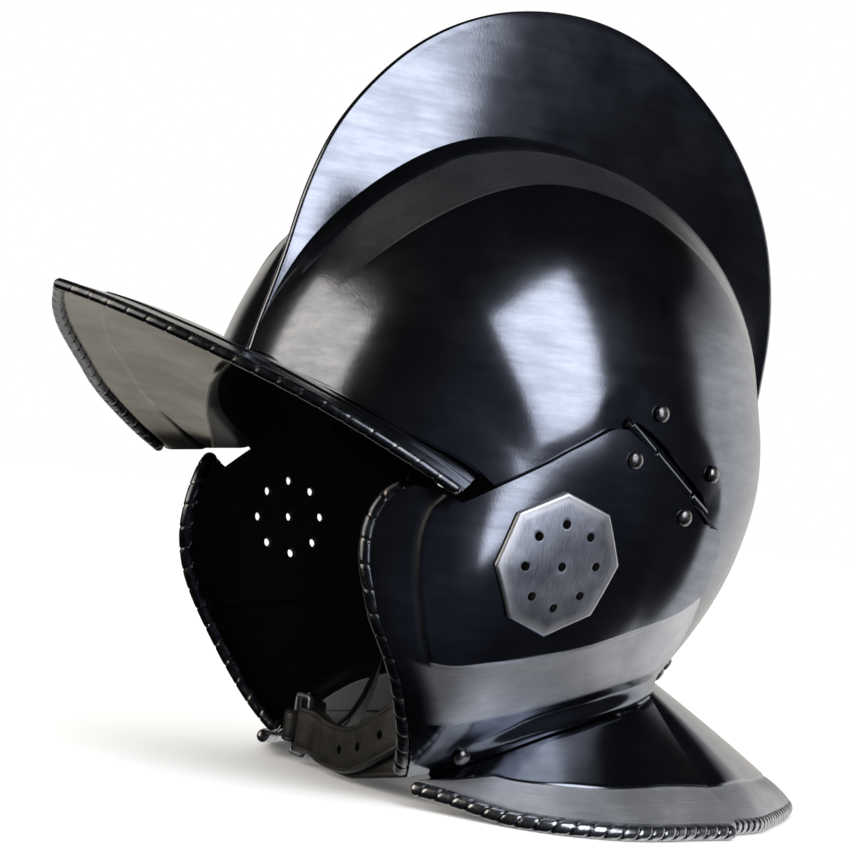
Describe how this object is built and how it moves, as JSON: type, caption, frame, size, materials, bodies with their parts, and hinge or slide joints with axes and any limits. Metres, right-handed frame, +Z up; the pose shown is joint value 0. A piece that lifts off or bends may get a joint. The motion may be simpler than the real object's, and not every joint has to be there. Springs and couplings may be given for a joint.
{
  "type": "burgonet helmet",
  "caption": "Open-faced steel burgonet with a tall comb, roped rolled edges, a pointed peak, hinged cheek pieces with ear bosses, a flared collar and a buckled chin strap.",
  "frame": {"origin": "on the floor under the middle of the helmet's length and width, at the level of the rolled rims that it rests on", "axes": "+Z up, +X to the wearer's left, -Y to the front, where the peak points"},
  "size_m": [0.2486, 0.3848, 0.3321],
  "materials": {
    "black_steel": "polished blue-black steel, with paint inside and satin grey recessed bands",
    "bright_steel": "brushed satin steel",
    "leather": "black waxed harness leather"
  },
  "bodies": {
    "root": {"skull": "black_steel", "peak": "black_steel", "neck_guard": "black_steel", "cheek_left": "black_steel", "cheek_right": "black_steel", "collar_left": "black_steel", "collar_right": "black_steel", "hinge_skull_leaf_left": "black_steel", "hinge_cheek_leaf_left": "black_steel", "hinge_pin_left": "black_steel", "hinge_skull_rivet_1_left": "black_steel", "hinge_cheek_rivet_1_left": "black_steel", "guard_rivet_1_left": "black_steel", "hinge_skull_rivet_2_left": "black_steel", "hinge_cheek_rivet_2_left": "black_steel", "guard_rivet_2_left": "black_steel", "collar_rivet_left": "black_steel", "hinge_skull_leaf_right": "black_steel", "hinge_cheek_leaf_right": "black_steel", "hinge_pin_right": "black_steel", "hinge_skull_rivet_1_right": "black_steel", "hinge_cheek_rivet_1_right": "black_steel", "guard_rivet_1_right": "black_steel", "hinge_skull_rivet_2_right": "black_steel", "hinge_cheek_rivet_2_right": "black_steel", "guard_rivet_2_right": "black_steel", "collar_rivet_right": "black_steel", "ear_boss_left": "bright_steel", "ear_boss_right": "bright_steel", "buckle_ring": "bright_steel", "chin_strap": "leather", "buckle_strap": "leather", "back_strap": "leather"}
  },
  "joints": []
}
